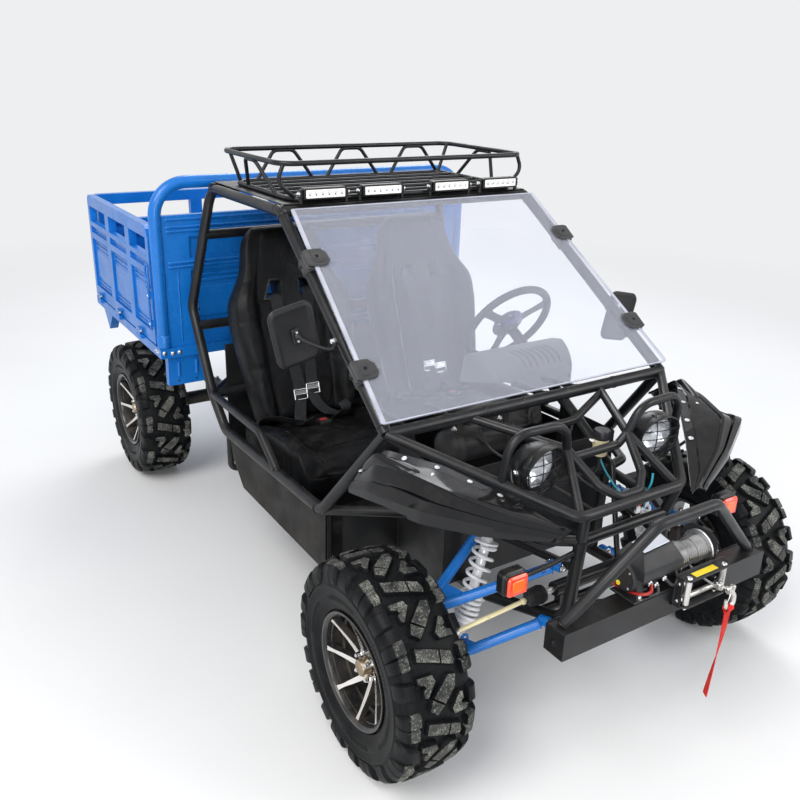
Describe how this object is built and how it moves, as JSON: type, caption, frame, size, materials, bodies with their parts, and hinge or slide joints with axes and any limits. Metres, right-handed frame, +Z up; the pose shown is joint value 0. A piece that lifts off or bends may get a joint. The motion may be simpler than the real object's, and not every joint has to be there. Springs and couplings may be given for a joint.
{
  "type": "two-seat utility buggy with cargo bed",
  "caption": "Open two-seat utility buggy with a roll cage, clear windscreen, roof rack, front winch, lugged tyres and a tipping drop-side cargo bed.",
  "frame": {"origin": "on the ground below the middle of the vehicle", "axes": "+X towards the front, +Y to the left of the driver, +Z up"},
  "size_m": [3.15, 1.582, 1.579],
  "materials": {
    "black_tube": "satin",
    "black_plastic": "matte",
    "dusty_plastic": "matte, dusty",
    "lamp_black": "satin",
    "clear_screen": "clear, slightly hazy",
    "gloss_black": "gloss",
    "lamp_chrome": "bright",
    "winch_black": "satin",
    "zinc_steel": "bright zinc",
    "red_webbing": "woven",
    "seat_black": "satin leatherette",
    "black_webbing": "woven",
    "blue_paint": "gloss",
    "damper_silver": "satin",
    "white_paint": "gloss",
    "cast_black": "rough",
    "beige_plastic": "translucent",
    "red_paint": "gloss",
    "red_lens": "gloss",
    "wheel_rubber": "satin",
    "yellow_zinc": "yellow zinc",
    "tyre_black": "dusty",
    "rim_metal": "machined spokes, black barrel"
  },
  "bodies": {
    "chassis": {"roll_cage": "black_tube", "lower_frame": "black_tube", "nose_frame": "black_tube", "floor_tub": "black_plastic", "side_skirts": "dusty_plastic", "roof_panel": "black_plastic", "roof_rack": "black_tube", "light_bars": "lamp_black", "windscreen": "clear_screen", "screen_clamps": "lamp_black", "fenders": "gloss_black", "headlamps": "lamp_chrome", "indicators": "lamp_black", "bumper": "black_tube", "winch": "winch_black", "fairlead": "zinc_steel", "winch_hook": "zinc_steel", "pull_strap": "red_webbing", "seats": "seat_black", "seat_harnesses": "black_webbing", "dashboard": "black_plastic", "steering_column": "black_tube", "front_arms": "blue_paint", "front_dampers": "damper_silver", "front_springs": "white_paint", "rear_axle": "cast_black", "rear_springs": "cast_black", "engine": "cast_black", "pedals": "zinc_steel", "cowl_drum": "black_plastic", "brake_reservoir": "beige_plastic", "horn": "red_paint", "mirrors": "black_plastic"},
    "bed": {"bed_tray": "blue_paint", "headboard": "blue_paint", "tail_lamps": "red_lens"},
    "gate_left": {"gate_left": "blue_paint"},
    "gate_right": {"gate_right": "blue_paint"},
    "tailgate": {"tailgate": "blue_paint"},
    "steering_wheel": {"steering_wheel": "wheel_rubber"},
    "steering_rack": {"steering_rack": "yellow_zinc"},
    "knuckle_left": {"knuckle_left": "cast_black"},
    "knuckle_right": {"knuckle_right": "cast_black"},
    "wheel_front_left": {"tyre_front_left": "tyre_black", "rim_front_left": "rim_metal"},
    "wheel_front_right": {"tyre_front_right": "tyre_black", "rim_front_right": "rim_metal"},
    "wheel_rear_left": {"tyre_rear_left": "tyre_black", "rim_rear_left": "rim_metal"},
    "wheel_rear_right": {"tyre_rear_right": "tyre_black", "rim_rear_right": "rim_metal"}
  },
  "joints": [
    {"name": "steering_turn", "type": "hinge", "parent": "chassis", "child": "steering_wheel", "pos_m": [0.375, 0.29, 0.985], "axis": [-0.866, 0, 0.5], "range_deg": [-270, 270]},
    {"name": "rack_slide", "type": "slide", "parent": "chassis", "child": "steering_rack", "axis": [0, 1, 0], "range_m": [-0.0423, 0.0423]},
    {"name": "knuckle_left_steer", "type": "hinge", "parent": "chassis", "child": "knuckle_left", "pos_m": [1.075, 0.545, 0.3175], "axis": [0, 0, 1], "range_deg": [-28, 28]},
    {"name": "knuckle_right_steer", "type": "hinge", "parent": "chassis", "child": "knuckle_right", "pos_m": [1.075, -0.545, 0.3175], "axis": [0, 0, 1], "range_deg": [-28, 28]},
    {"name": "bed_tip", "type": "hinge", "parent": "chassis", "child": "bed", "pos_m": [-1.38, 0, 0.697], "axis": [0, -1, 0], "range_deg": [0, 45]},
    {"name": "gate_left_drop", "type": "hinge", "parent": "bed", "child": "gate_left", "pos_m": [-1.08, 0.759, 0.771], "axis": [-1, 0, 0], "range_deg": [0, 120]},
    {"name": "gate_right_drop", "type": "hinge", "parent": "bed", "child": "gate_right", "pos_m": [-1.08, -0.759, 0.771], "axis": [1, 0, 0], "range_deg": [0, 120]},
    {"name": "tailgate_drop", "type": "hinge", "parent": "bed", "child": "tailgate", "pos_m": [-1.566, 0, 0.771], "axis": [0, -1, 0], "range_deg": [0, 120]},
    {"name": "spin_front_left", "type": "hinge", "parent": "knuckle_left", "child": "wheel_front_left", "pos_m": [1.075, 0.677, 0.3175], "axis": [0, 1, 0], "continuous": true},
    {"name": "spin_front_right", "type": "hinge", "parent": "knuckle_right", "child": "wheel_front_right", "pos_m": [1.075, -0.677, 0.3175], "axis": [0, 1, 0], "continuous": true},
    {"name": "spin_rear_left", "type": "hinge", "parent": "chassis", "child": "wheel_rear_left", "pos_m": [-1.105, 0.668, 0.3175], "axis": [0, 1, 0], "continuous": true},
    {"name": "spin_rear_right", "type": "hinge", "parent": "chassis", "child": "wheel_rear_right", "pos_m": [-1.105, -0.668, 0.3175], "axis": [0, 1, 0], "continuous": true}
  ],
  "couplings": [
    {"joint": "rack_slide", "follows": "steering_turn", "m_per_rad": 0.00896},
    {"joint": "knuckle_left_steer", "follows": "steering_turn", "ratio": 0.1037},
    {"joint": "knuckle_right_steer", "follows": "steering_turn", "ratio": 0.1037}
  ]
}
